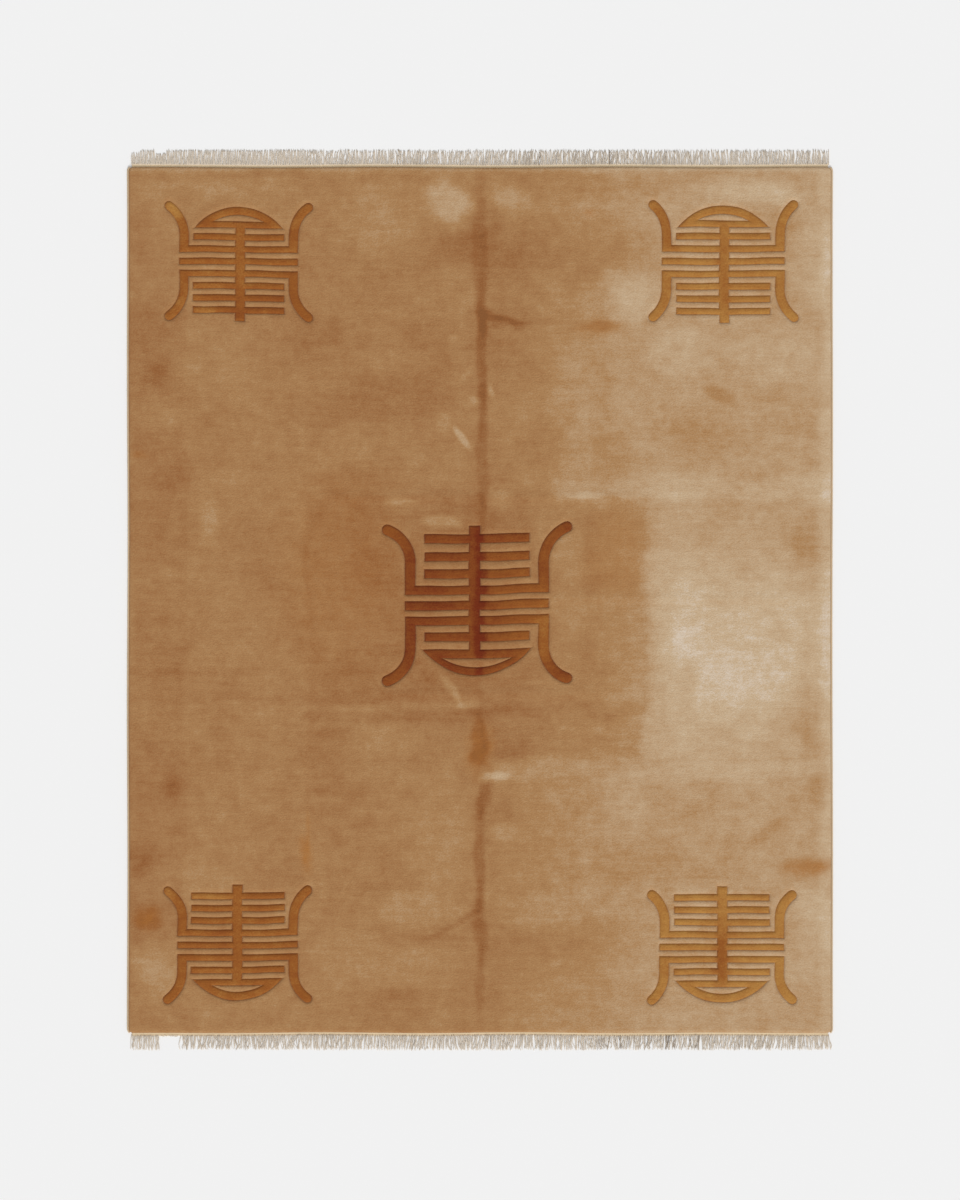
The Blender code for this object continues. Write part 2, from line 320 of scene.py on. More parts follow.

# The fringes, stretch by stretch. Their soil darkens the yarns: real dirt, and painted shade standing in for the
# dark gaps between the yarns.
FRINGE_STRETCHES = (
    # end, from, to, yarns a metre, share of the reach, tangle, soil and painted shade
    ("top", -1.206, -1.175, 300, 0.86, 0.35, 0.2),
    ("top", -1.175, -1.125, 420, 1.0, 0.25, 0.1),
    ("top", -1.125, -1.085, 400, 0.8, 0.35, 0.2),
    ("top", -1.085, -0.6, 430, 1.0, 0.25, 0.1),
    ("top", -0.6, 0.1, 360, 1.0, 0.65, 0.5),
    ("top", 0.1, 0.75, 370, 1.0, 0.75, 0.6),
    ("top", 0.75, 1.206, 360, 1.0, 0.6, 0.5),
    ("bottom", -1.206, -1.19, 260, 0.92, 0.4, 0.3),
    ("bottom", -1.19, -1.11, 370, 1.0, 0.45, 0.3),
    ("bottom", -1.11, -1.035, 240, 0.22, 0.7, 0.3),
    ("bottom", -1.035, -0.6, 340, 0.98, 0.75, 0.6),
    ("bottom", -0.6, 0.4, 370, 1.0, 0.7, 0.5),
    ("bottom", 0.4, 0.76, 320, 0.98, 0.85, 0.9),
    ("bottom", 0.76, 1.206, 360, 1.0, 0.7, 0.5),
)


# Settings


def length_setting(name, description, default):
    return bpy.props.FloatProperty(
        name=name, description=description, default=default, min=0.0, precision=4, subtype="DISTANCE", unit="LENGTH"
    )


def share_setting(name, description, default):
    return bpy.props.FloatProperty(
        name=name, description=description, default=default, min=0.0, max=1.0, subtype="FACTOR"
    )


def colour_setting(name, description, default):
    return bpy.props.FloatVectorProperty(
        name=name, description=description, default=default, min=0.0, max=1.0, size=3, subtype="COLOR"
    )


class DecoRugPileSettings(bpy.types.PropertyGroup):
    """The wool pile and its carving."""

    height: length_setting("Pile height", "From the floor to the top of the pile", 0.012)
    mesh_step: length_setting("Mesh step", "Size of the pile's mesh away from the carving", 0.0118)
    crease_step: length_setting("Crease step", "Size of the mesh beside the middle crease", 0.0055)
    carve_depth: length_setting("Carving depth", "Depth of the groove round each medallion", 0.0048)
    carve_width: length_setting("Carving half width", "From the groove's bottom to its shoulder", 0.0058)
    # The field's colours from darkest to palest; the tones that pick them carry painted nap and crease shade too.
    deep_camel: colour_setting("Deep camel", "The field where it kept its colour", (0.30, 0.115, 0.034))
    camel: colour_setting("Camel", "The field", (0.43, 0.232, 0.096))
    beige: colour_setting("Bleached beige", "The field where it faded", (0.60, 0.44, 0.277))
    rust: colour_setting("Rust", "The stains", (0.42, 0.155, 0.025))


class DecoRugMedallionSettings(bpy.types.PropertyGroup):
    """The medallions' wool."""

    mesh_step: length_setting("Mesh step", "Size of the medallions' mesh", 0.007)
    russet: colour_setting("Russet", "The darkest of the medallions' wool", (0.165, 0.022, 0.003))
    amber: colour_setting("Amber", "The middle of the medallions' wool", (0.31, 0.10, 0.016))
    old_gold: colour_setting("Old gold", "The palest of the medallions' wool", (0.52, 0.27, 0.066))


class DecoRugTrimSettings(bpy.types.PropertyGroup):
    """The side cords, end bands and fringes."""

    wrap_pitch: length_setting("Wrap pitch", "From one wrap of the side cord to the next", 0.0042)
    band_depth: length_setting("Band depth", "Depth of the flat-woven end band", 0.012)
    band_height: length_setting("Band height", "Thickness of the end band", 0.003)
    yarn_radius: length_setting("Yarn radius", "Half the thickness of a fringe yarn", 0.0013)
    evenness: share_setting("Evenness", "How straight the fringe is trimmed", 0.93)
    cotton: colour_setting("Cotton", "The undyed cotton", (0.76, 0.66, 0.54))
    # The yarns' dark colour: dirt, and on the fringe painted shade for the gaps between the yarns.
    soiled_cotton: colour_setting("Soiled cotton", "The cotton where it is dirty", (0.23, 0.17, 0.12))
    band_cotton: colour_setting("Band cotton", "The end band, yellowed", (0.80, 0.64, 0.42))


class DecoRugStageSettings(bpy.types.PropertyGroup):
    """The floor, the light and the camera."""

    view_height: length_setting("View height", "How much of the floor the camera takes in from top to bottom", 4.147)
    camera_distance: length_setting("Camera distance", "From the camera to the floor", 14.0)
    key_strength: bpy.props.FloatProperty(name="Key", description="Strength of the key light", default=1.9)
    fill_strength: bpy.props.FloatProperty(name="Fill", description="Strength of the room's light", default=0.55)
    floor: colour_setting("Floor", "The floor's colour", (0.93, 0.93, 0.93))


class DecoRugSettings(bpy.types.PropertyGroup):
    """All that a user would change."""

    pile: bpy.props.PointerProperty(type=DecoRugPileSettings)
    medallion: bpy.props.PointerProperty(type=DecoRugMedallionSettings)
    trim: bpy.props.PointerProperty(type=DecoRugTrimSettings)
    stage: bpy.props.PointerProperty(type=DecoRugStageSettings)


# The cloth's own shape


def wander(edge, along, half):
    """How far an edge lies inside its straight line, which it meets again at the corners."""
    depth, waves, phase = EDGE_WANDER[edge]
    share = np.clip(along / half, -1, 1)
    return depth * (1 - share**4) * (0.5 + 0.5 * np.sin(math.pi * waves * share + phase))


def side_reach(right, y):
    return PILE_HALF_WIDTH - wander("right" if right else "left", y, PILE_HALF_LENGTH)


def end_reach(top, x):
    return PILE_HALF_LENGTH - wander("top" if top else "bottom", x, PILE_HALF_WIDTH)


def noise_field(x, y, size, seed):
    """Smooth noise from -1 to 1 whose lumps are about size across."""
    return np.array([noise.noise((a / size, b / size, seed)) for a, b in zip(x, y)])


def settle(x, y):
    """Moves points of the plan to where the hand-made cloth has them: a little astray, with wandering edges."""
    inset = np.minimum(PILE_HALF_WIDTH - np.abs(x), PILE_HALF_LENGTH - np.abs(y))
    free = np.clip(inset / STRAY_INSET, 0, 1)
    astray_x = x + STRAY * free * noise_field(x, y, STRAY_SIZE, 3.1)
    astray_y = y + STRAY * free * noise_field(x, y, STRAY_SIZE, 8.7)
    across = np.abs(x) - (PILE_HALF_WIDTH - CORNER_RADIUS)
    along = np.abs(y) - (PILE_HALF_LENGTH - CORNER_RADIUS)
    corner = (across > 0) & (along > 0)
    shrink = np.where(corner, np.maximum(across, along) / np.maximum(np.hypot(across, along), 1e-9), 1.0)
    round_x = np.where(corner, np.sign(x) * (np.abs(x) - across * (1 - shrink)), astray_x)
    round_y = np.where(corner, np.sign(y) * (np.abs(y) - along * (1 - shrink)), astray_y)
    width = np.where(x > 0, side_reach(True, round_y), side_reach(False, round_y)) / PILE_HALF_WIDTH
    length = np.where(y > 0, end_reach(True, x), end_reach(False, x)) / PILE_HALF_LENGTH
    return round_x * width, round_y * length


def fold_rise(x, y):
    rise = np.zeros_like(x)
    for line_across, at, start, end, height, width in FOLDS:
        off, along = (x - at, y) if line_across == "X" else (y - at, x)
        fade = np.clip(np.minimum(along - start, end - along) / FOLD_FADE, 0, 1)
        rise += np.where(np.abs(off) < width, height * fade * 0.5 * (1 + np.cos(math.pi * off / width)), 0.0)
    return rise


def smooth(low, high, value):
    share = np.clip((value - low) / (high - low), 0, 1)
    return share * share * (3 - 2 * share)


def patches(table, x, y):
    """The sum of a table's patches at each point. Their edges are ragged, more so on the larger ones."""
    coarse_x, coarse_y = (noise_field(x, y, COARSE_SIZE, seed) for seed in (1.7, 5.3))
    fine_x, fine_y = (noise_field(x, y, FINE_SIZE, seed) for seed in (2.9, 7.1))
    total = np.zeros_like(x)
    for shape, middle_x, middle_y, half_w, half_h, turn, softness, amount in table:
        ragged = min(1.0, min(half_w, half_h) / RAGGED_FROM)
        off_x = x - middle_x + ragged * (RAGGED_COARSE * coarse_x + RAGGED_FINE * fine_x)
        off_y = y - middle_y + ragged * (RAGGED_COARSE * coarse_y + RAGGED_FINE * fine_y)
        cos, sin = math.cos(math.radians(turn)), math.sin(math.radians(turn))
        along, across = (off_x * cos + off_y * sin) / half_w, (off_y * cos - off_x * sin) / half_h
        if shape == "oval":
            reach = np.hypot(along, across)
            total += amount * (1 - smooth(1 - softness, 1 + softness, reach))
        else:
            edge = softness * min(half_w, half_h)
            inside_x = half_w * (1 - np.abs(along))
            inside_y = half_h * (1 - np.abs(across))
            total += amount * smooth(-edge, edge, np.minimum(inside_x, inside_y))
    return total


def field_tone(x, y):
    slope = LEFT_TONE + (RIGHT_TONE - LEFT_TONE) * smooth(*TONE_SLOPE, x)
    return slope + patches(NAP_WEAR_AND_SHADE, x, y)




# The medallions' plan


class Medallion:
    """The plan of one roundel of bars, horns and a bowl on a stem, in its own u and v, with the stem's free end up.

    Each outline can be grown by a margin, and distance() tells how far a point lies outside the whole of it.
    """

    SHORT_ROWS = (4, 3, 2, -2)
    STEM_SHARE = 0.21
    STEM_TOP = 0.90
    HORN_SHARE = 0.20
    BOWL_SAG = 0.475
    MOUTH_SAG = 0.26
    POINT_STEP = 0.008

    def __init__(self, sizes):
        for name, value in sizes.items():
            setattr(self, name, value)
        self.stem_half = self.STEM_SHARE * self.short_reach / 2
        self.horn_half = self.HORN_SHARE * self.short_reach / 2
        self.stem_high = self.row_height(4) + self.STEM_TOP * self.pitch
        self.lip = -self.row_height(-3) - self.bar / 2
        self.bowl_disc = self.disc(self.bowl_reach, self.BOWL_SAG)
        self.mouth_disc = self.disc(self.mouth_reach, self.MOUTH_SAG)
        self.plan_horn()

    def row_height(self, row):
        return self.pitch * row + self.spread * row * abs(row)

    def plan_horn(self):
        """A horn rises straight from the end of its bar, then turns outwards on an arc."""
        self.foot = self.long_reach - self.horn_half
        out = self.horn_reach - 0.95 * self.horn_half - self.foot
        up = self.horn_rise - 0.80 * self.horn_half - self.horn_run
        self.sweep = 2 * math.atan2(out, up)
        self.turn_radius = up / math.sin(self.sweep)
        self.tip = (self.foot + out, self.horn_run + up)

    @staticmethod
    def disc(half, sag_share):
        """The radius of the disc that a chord of that half width cuts so deep, and its middle past the chord."""
        sag = half * sag_share
        radius = (half * half + sag * sag) / (2 * sag)
        return radius, sag - radius

    def boxes(self):
        """The stem and the plain bars: middle u, middle v, half width, half height."""
        stem_low = -(self.lip + self.bar / 2)
        stem_middle = (self.stem_high + stem_low) / 2
        yield self.stem_shift, stem_middle, self.stem_half, self.stem_high - stem_middle
        for row in self.SHORT_ROWS:
            yield 0.0, self.row_height(row), self.short_reach, self.bar / 2
        yield 0.0, 0.0, self.long_reach, self.bar / 2

    def outlines(self, margin):
        """Every outline, grown by the margin, as corners in u and v."""
        for middle_u, middle_v, half_u, half_v in self.boxes():
            left, right = middle_u - half_u - margin, middle_u + half_u + margin
            low, high = middle_v - half_v - margin, middle_v + half_v + margin
            yield [(left, low), (right, low), (right, high), (left, high)]
        bracket = self.bracket_outline(margin)
        yield [(u, v + self.row_height(1)) for u, v in bracket]
        yield [(u, self.row_height(-1) - v) for u, v in bracket]
        yield self.disc_outline(self.bowl_disc, self.lip, margin)
        yield self.disc_outline(self.mouth_disc, self.lip + self.bar, -margin)

    def bracket_outline(self, margin):
        """A bar with a horn at each end, its horns up and the bar's middle at zero."""
        half, thick = self.horn_half + margin, self.bar / 2 + margin
        middle, last = self.foot + self.turn_radius, math.pi - self.sweep
        inner = self.arc(middle, self.horn_run, self.turn_radius + half, math.pi, last)
        cap = self.arc(*self.tip, half, last, last - math.pi)
        outer = self.arc(middle, self.horn_run, self.turn_radius - half, last, math.pi)
        right = [(self.foot - half, thick), *inner, *cap[1:-1], *outer, (self.foot + half, -thick)]
        return right + [(-u, v) for u, v in reversed(right)]

    def arc(self, middle_u, middle_v, radius, start, stop):
        steps = max(4, round(abs(stop - start) * radius / self.POINT_STEP))
        turns = [start + (stop - start) * i / steps for i in range(steps + 1)]
        return [(middle_u + radius * math.cos(turn), middle_v + radius * math.sin(turn)) for turn in turns]

    def disc_outline(self, disc, chord, margin):
        """The part of a disc past its chord, which lies that far below the medallion's middle."""
        radius, past = disc
        middle, radius = chord + past, radius + margin
        start = math.asin((chord - margin - middle) / radius)
        return [(u, -w) for u, w in self.arc(0.0, middle, radius, start, math.pi - start)]

    def rows(self, margin):
        """The outlines as closed rows of points on the cloth."""
        for outline in self.outlines(margin):
            row = []
            for (u, v), (next_u, next_v) in zip(outline, outline[1:] + outline[:1]):
                steps = max(1, round(math.hypot(next_u - u, next_v - v) / self.POINT_STEP))
                row += [(u + (next_u - u) * i / steps, v + (next_v - v) * i / steps) for i in range(steps)]
            yield [self.on_cloth(u, v) for u, v in row]

    def on_cloth(self, u, v):
        return self.x + u, self.y - self.bowl_side * v + self.lift * max(u, 0) / self.long_reach

    def distance(self, x, y):
        """How far each point lies outside the medallion, below zero inside it."""
        u = x - self.x
        v = -self.bowl_side * (y - self.y - self.lift * np.maximum(u, 0) / self.long_reach)
        found = self.bowl_distance(u, -v)
        for middle_u, middle_v, half_u, half_v in self.boxes():
            found = np.minimum(found, self.box_distance(u - middle_u, v - middle_v, half_u, half_v))
        found = np.minimum(found, self.bracket_distance(np.abs(u), v - self.row_height(1)))
        return np.minimum(found, self.bracket_distance(np.abs(u), self.row_height(-1) - v))

    @staticmethod
    def box_distance(off_u, off_v, half_u, half_v):
        du, dv = np.abs(off_u) - half_u, np.abs(off_v) - half_v
        return np.hypot(np.maximum(du, 0), np.maximum(dv, 0)) + np.minimum(np.maximum(du, dv), 0)

    def bracket_distance(self, u, v):
        bar = self.box_distance(u, v, self.long_reach, self.bar / 2)
        off_u, off_v = u - self.foot - self.turn_radius, v - self.horn_run
        straight = off_v < 0
        turned = math.pi - np.arctan2(off_v, off_u)
        on_horn = np.where(straight, v > 0, turned <= self.sweep)
        aside = np.where(straight, np.abs(u - self.foot), np.abs(np.hypot(off_u, off_v) - self.turn_radius))
        horn = np.where(on_horn, aside - self.horn_half, 1.0)
        cap = np.hypot(u - self.tip[0], v - self.tip[1]) - self.horn_half
        return np.minimum(bar, np.minimum(horn, cap))

    def bowl_distance(self, u, w):
        bowl = self.disc_distance(self.bowl_disc, self.lip, u, w)
        mouth = self.disc_distance(self.mouth_disc, self.lip + self.bar, u, w)
        return np.maximum(bowl, -mouth)

    @staticmethod
    def disc_distance(disc, chord, u, w):
        radius, past = disc
        return np.maximum(np.hypot(u, w - chord - past) - radius, chord - w)


# The pile, cut into field and medallions


def stations(half, step, dense_half=0.0, dense_step=1.0):
    """Lines across the cloth: close together at both edges and, where asked, beside its middle."""
    inner = half - EDGE_INSETS[-1]
    outer = np.linspace(dense_half, inner, round((inner - dense_half) / step) + 1)
    core = np.linspace(-dense_half, dense_half, round(2 * dense_half / dense_step) + 1)
    edge = half - np.array(EDGE_INSETS)
    return np.unique(np.round(np.concatenate([-edge, -outer, core, outer, edge]), 7))


class CarvedPlan:
    """The pile's plan, cut into triangles once, so that the field and the medallions meet along the carving."""

    def __init__(self, pile, motif):
        self.medallions = {name: Medallion(sizes) for name, sizes in MEDALLIONS.items()}
        self.margins = (0.0, 0.38 * pile.carve_width, pile.carve_width)
        self.depths = (pile.carve_depth, 0.5 * pile.carve_depth, 0.0)
        self.height = pile.height
        points, edges = self.carving_rows()
        points += self.grid(pile, motif)
        found = delaunay_2d_cdt([Vector(p) for p in points], edges, [], 0, 1e-6, False)
        self.points = np.array([tuple(p) for p in found[0]])
        triangles = np.array(found[2])
        middles = self.points[triangles].mean(axis=1)
        away, nearest = self.distance(*middles.T)
        self.owner = np.where(away < 0, nearest, -1)
        self.triangles = triangles

    def carving_rows(self):
        points, edges = [], []
        for medallion in self.medallions.values():
            for margin in (*self.margins, -self.margins[1], -self.margins[2]):
                for row in medallion.rows(margin):
                    first = len(points)
                    points += row
                    edges += [(first + i, first + (i + 1) % len(row)) for i in range(len(row))]
        return points, edges

    def grid(self, pile, motif):
        """Points away from the carving: wide apart on the field and closer on the medallions."""
        columns = stations(PILE_HALF_WIDTH, pile.mesh_step, CREASE_HALF_WIDTH, pile.crease_step)
        rows = stations(PILE_HALF_LENGTH, pile.mesh_step)
        x, y = (flat.ravel() for flat in np.meshgrid(columns, rows))
        clear = self.distance(x, y)[0] > pile.carve_width + FIELD_CLEARANCE
        kept = list(zip(x[clear], y[clear]))
        for medallion in self.medallions.values():
            reach = medallion.horn_reach
            across = np.arange(medallion.x - reach, medallion.x + reach, motif.mesh_step)
            along = np.arange(medallion.y - reach, medallion.y + reach, motif.mesh_step)
            x, y = (flat.ravel() for flat in np.meshgrid(across, along))
            clear = medallion.distance(x, y) < -pile.carve_width - MOTIF_CLEARANCE
            kept += list(zip(x[clear], y[clear]))
        return kept

    def distance(self, x, y):
        """How far each point lies from the nearest medallion, and which that is."""
        all_away = np.array([medallion.distance(x, y) for medallion in self.medallions.values()])
        return all_away.min(axis=0), all_away.argmin(axis=0)

    def heights(self, x, y):
        inset = np.minimum(PILE_HALF_WIDTH - np.abs(x), PILE_HALF_LENGTH - np.abs(y))
        edge = np.interp(inset, EDGE_INSETS, EDGE_DROPS)
        carved = np.interp(np.abs(self.distance(x, y)[0]), self.margins, self.depths)
        uneven = UNEVEN_COARSE * noise_field(x, y, UNEVEN_COARSE_SIZE, 4.4)
        uneven += UNEVEN_FINE * noise_field(x, y, UNEVEN_FINE_SIZE, 6.6)
        return self.height - edge - carved + fold_rise(x, y) + uneven

    def part(self, owner):
        """One piece's closed body: its vertices, faces, and each vertex's place in plan."""
        triangles = self.triangles[self.owner == owner]
        used, local = np.unique(triangles, return_inverse=True)
        triangles = local.reshape(-1, 3)
        plan = self.points[used]
        directed = {(a, b) for t in triangles.tolist() for a, b in ((t[0], t[1]), (t[1], t[2]), (t[2], t[0]))}
        rim = sorted((a, b) for a, b in directed if (b, a) not in directed)
        rim_points = sorted({a for edge in rim for a in edge})
        below = {a: len(plan) + i for i, a in enumerate(rim_points)}
        walls = [(a, below[a], below[b], b) for a, b in rim]
        order = {a: i for i, a in enumerate(rim_points)}
        rim_plan = plan[rim_points]
        rim_edges = [(order[a], order[b]) for a, b in rim]
        cap = delaunay_2d_cdt([Vector(p) for p in rim_plan], rim_edges, [], 0, 1e-7, False)
        cap_plan = np.array([tuple(p) for p in cap[0]])
        cap_triangles = np.array(cap[2])
        away, nearest = self.distance(*cap_plan[cap_triangles].mean(axis=1).T)
        inside = np.where(away < 0, nearest, -1) == owner
        floor = [tuple(len(plan) + i for i in reversed(t)) for t in cap_triangles[inside].tolist()]
        plan = np.concatenate([plan, cap_plan])
        top = np.arange(len(plan)) < len(used)
        return plan, top, [tuple(t) for t in triangles.tolist()] + walls + floor


@functools.lru_cache(maxsize=1)
def carved_plan():
    settings = bpy.context.scene.deco_rug
    return CarvedPlan(settings.pile, settings.medallion)


def add_piece(name, vertices, faces, finish, slot, sharp=None, **values):
    """Makes one mesh that rides on the rug, with the named values at its vertices."""
    mesh = bpy.data.meshes.new(name)
    mesh.from_pydata([tuple(map(float, v)) for v in vertices], [], [tuple(map(int, f)) for f in faces])
    mesh.validate()
    if len(mesh.polygons) != len(faces):
        raise RuntimeError(f"{name} has faces that make no surface")
    for value_name, each in values.items():
        mesh.attributes.new(value_name, "FLOAT", "POINT").data.foreach_set("value", np.asarray(each, np.float32))
    mesh.shade_smooth()
    if sharp is not None:
        mesh.set_sharp_from_angle(angle=math.radians(sharp))
    mesh.materials.append(finish)
    piece = bpy.data.objects.new(name, mesh)
    bpy.context.scene.collection.objects.link(piece)
    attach(piece, "root")
    return piece


def add_pile_piece(name, owner, finish, slot, tones):
    """The part of the pile with that owner, as a closed body with its wool's tones, painted nap and crease shade
    among them, and its stains.
    """
    carved = carved_plan()
    plan, top, faces = carved.part(owner)
    x, y = settle(*plan.T)
    z = np.where(top, carved.heights(*plan.T), 0.0)
    stain = patches(STAINS, x, y)
    return add_piece(
        name, np.column_stack([x, y, z]), faces, finish, slot, sharp=SHARP_ANGLE, shade=tones(x, y), rust=stain
    )


# Finishes


class Finish:
    """A procedural material, put together from sockets."""

    def __init__(self, name, roughness, sheen):
        self.material = bpy.data.materials.new(name)
        self.material.use_nodes = True
        self.tree = self.material.node_tree
        self.surface = self.tree.nodes["Principled BSDF"]
        self.surface.inputs["Roughness"].default_value = roughness
        self.surface.inputs["Sheen Weight"].default_value = sheen
        self.surface.inputs["Sheen Roughness"].default_value = 0.5
        self.surface.inputs["Specular IOR Level"].default_value = 0.15
        self.place = self.add("ShaderNodeTexCoord").outputs["Object"]

    def add(self, kind, **inputs):
        node = self.tree.nodes.new(kind)
        for name, value in inputs.items():
            self.fill(node.inputs[name.replace("_", " ")], value)
        return node

    def fill(self, socket, value):
        if isinstance(value, bpy.types.NodeSocket):
            self.tree.links.new(value, socket)
        else:
            socket.default_value = value

    def math(self, operation, *values):
        node = self.tree.nodes.new("ShaderNodeMath")
        node.operation = operation
        for socket, value in zip(node.inputs, values):
            self.fill(socket, value)
        return node.outputs["Value"]

    def total(self, *values):
        found = values[0]
        for value in values[1:]:
            found = self.math("ADD", found, value)
        return found

    def stretched(self, stretch, shift=0.0):
        scale = tuple(1 / length for length in stretch)
        return self.add("ShaderNodeMapping", Vector=self.place, Scale=scale, Location=(shift,) * 3).outputs["Vector"]

    def lumps(self, size, amount, detail=2.0, stretch=(1, 1, 1), shift=0.0):
        """Noise about nought, with lumps of that size in metres, stretched along the axes."""
        noise_node = self.add(
            "ShaderNodeTexNoise", Vector=self.stretched(stretch, shift), Scale=1 / size, Detail=detail
        )
        return self.math("MULTIPLY", self.math("SUBTRACT", noise_node.outputs["Fac"], 0.5), amount)

    def value(self, name):
        node = self.tree.nodes.new("ShaderNodeAttribute")
        node.attribute_name = name
        return node.outputs["Fac"]

    def height(self):
        return self.add("ShaderNodeSeparateXYZ", Vector=self.place).outputs["Z"]

    def ramp(self, value, stops):
        """Colours by a value from nought to one."""
        node = self.add("ShaderNodeValToRGB", Fac=value)
        elements = node.color_ramp.elements
        elements[0].position, elements[0].color = stops[0][0], (*stops[0][1], 1)
        elements[1].position, elements[1].color = stops[-1][0], (*stops[-1][1], 1)
        for position, colour in stops[1:-1]:
            elements.new(position).color = (*colour, 1)
        return node.outputs["Color"]

    def mix(self, share, first, second, how="MIX"):
        node = self.tree.nodes.new("ShaderNodeMix")
        node.data_type = "RGBA"
        node.blend_type = how
        sockets = [s for s in node.inputs if s.type == "RGBA"]
        self.fill(node.inputs[0], share)
        for socket, value in zip(sockets, (first, second)):
            self.fill(socket, value if isinstance(value, bpy.types.NodeSocket) else (*value, 1))
        return next(s for s in node.outputs if s.type == "RGBA")

    def finish(self, colour, relief, depth):
        """Gives the surface its colour, and a bump of that depth in metres."""
        self.fill(self.surface.inputs["Base Color"], colour)
        bump = self.add("ShaderNodeBump", Height=relief, Distance=depth, Strength=0.6)
        self.tree.links.new(bump.outputs["Normal"], self.surface.inputs["Normal"])
        return self.material


def wool_finish(name, stops, rust):
    """Old cut wool: worn clouds, brushed blotches, streaks along the knot rows and a fine nap. Its underside shows
    the knots of the back."""
    wool = Finish(name, roughness=0.92, sheen=0.15)
    nap = wool.lumps(0.0055, 0.34, detail=3.0)
    streaks = wool.lumps(0.012, 0.16, stretch=(9, 1, 1), shift=3.7)
    tone = wool.total(
        wool.value("shade"),
        wool.lumps(0.20, 0.26, detail=2.0, shift=1.3),
        wool.lumps(0.055, 0.24, detail=2.0, shift=5.1),
        wool.lumps(0.020, 0.16, detail=1.0, shift=9.9),
        streaks,
        nap,
    )
    knots = wool.add("ShaderNodeTexVoronoi", Vector=wool.place, Scale=1 / KNOT_PITCH).outputs["Distance"]
    underside = wool.math("LESS_THAN", wool.height(), BACK_HEIGHT)
    back_tone = wool.total(0.52, wool.lumps(0.09, 0.25), wool.math("MULTIPLY", knots, -0.30))
    tone = wool.total(tone, wool.math("MULTIPLY", underside, wool.math("SUBTRACT", back_tone, tone)))
    colour = wool.ramp(tone, stops)
    stain = wool.math("MULTIPLY", wool.value("rust"), wool.total(0.8, wool.lumps(0.02, 1.2)))
    clamped = wool.math("MULTIPLY", wool.math("MAXIMUM", stain, 0.0), wool.math("SUBTRACT", 1.0, underside))
    colour = wool.mix(clamped, colour, rust)
    relief = wool.total(wool.math("MULTIPLY", nap, 2.2), wool.math("MULTIPLY", knots, -0.8), streaks)
    return wool.finish(colour, relief, 0.0022)


def field_finish():
    pile = bpy.context.scene.deco_rug.pile
    deep, camel, beige = (tuple(c) for c in (pile.deep_camel, pile.camel, pile.beige))
    darkest = tuple(0.86 * c for c in deep)
    palest = tuple(1 - 0.72 * (1 - c) for c in beige)
    stops = ((0.0, darkest), (0.08, deep), (0.43, camel), (0.82, beige), (1.0, palest))
    return wool_finish("camel_wool", stops, tuple(pile.rust))


def medallion_finish():
    motif = bpy.context.scene.deco_rug.medallion
    stops = ((0.0, tuple(motif.russet)), (0.42, tuple(motif.amber)), (0.88, tuple(motif.old_gold)))
    return wool_finish("russet_wool", stops, tuple(bpy.context.scene.deco_rug.pile.rust))


def yarn_finish(name, clean, soiled, clean_share, twist):
    """Undyed yarn, from clean to dark by the value at its vertices: soil, and on the fringe painted shade for the
    gaps between the yarns. Its twist is in relief.
    """
    yarn = Finish(name, roughness=0.85, sheen=0.1)
    grime_and_shade = yarn.total(yarn.value("soil"), yarn.lumps(0.012, 0.5), yarn.lumps(0.09, 0.5, shift=2.2))
    colour = yarn.ramp(grime_and_shade, ((0.0, clean), (clean_share, tuple(0.92 * c for c in clean)), (1.0, soiled)))
    fibres = yarn.lumps(0.0022, 1.0, detail=3.0, stretch=twist)
    return yarn.finish(colour, fibres, 0.0012)


# Cords, bands and fringes


def tube(path, radii, sides):
    """A closed tube along a path, as vertices and faces. Each ring has its own radii, one for each side."""
    path = np.asarray(path)
    along = np.gradient(path, axis=0)
    along /= np.linalg.norm(along, axis=1)[:, None]
    side = np.cross(along, (0.0, 0.0, 1.0))
    side /= np.linalg.norm(side, axis=1)[:, None]
    up = np.cross(side, along)
    turns = np.arange(sides) * 2 * math.pi / sides
    rings = path[:, None] + radii[..., None] * (
        np.cos(turns)[None, :, None] * side[:, None] + np.sin(turns)[None, :, None] * up[:, None]
    )
    count = len(path)
    faces = []
    for ring in range(count - 1):
        for i in range(sides):
            a, b = ring * sides + i, ring * sides + (i + 1) % sides
            faces.append((a, b, b + sides, a + sides))
    faces.append(tuple(reversed(range(sides))))
    faces.append(tuple(range((count - 1) * sides, count * sides)))
    return rings.reshape(-1, 3), faces


def cord_path(right, step):
    """The middle of a side cord, which follows the side of the pile and turns in a little at its corners."""
    radius = CORD_DIAMETER / 2
    straight = PILE_HALF_LENGTH - CORNER_RADIUS
    y = np.arange(-straight, straight + step / 2, step)
    turn = np.arange(step, 0.9 * (CORNER_RADIUS + radius), step) / (CORNER_RADIUS + radius)
    corner_x = -(CORNER_RADIUS + radius) * (1 - np.cos(turn))
    corner_y = (CORNER_RADIUS + radius) * np.sin(turn)
    x = side_reach(right, y) + radius
    x = np.concatenate([x[0] + corner_x[::-1], x, x[-1] + corner_x])
    y = np.concatenate([-straight - corner_y[::-1], y, straight + corner_y])
    return np.column_stack([x if right else -x, y, np.full(len(y), radius)])


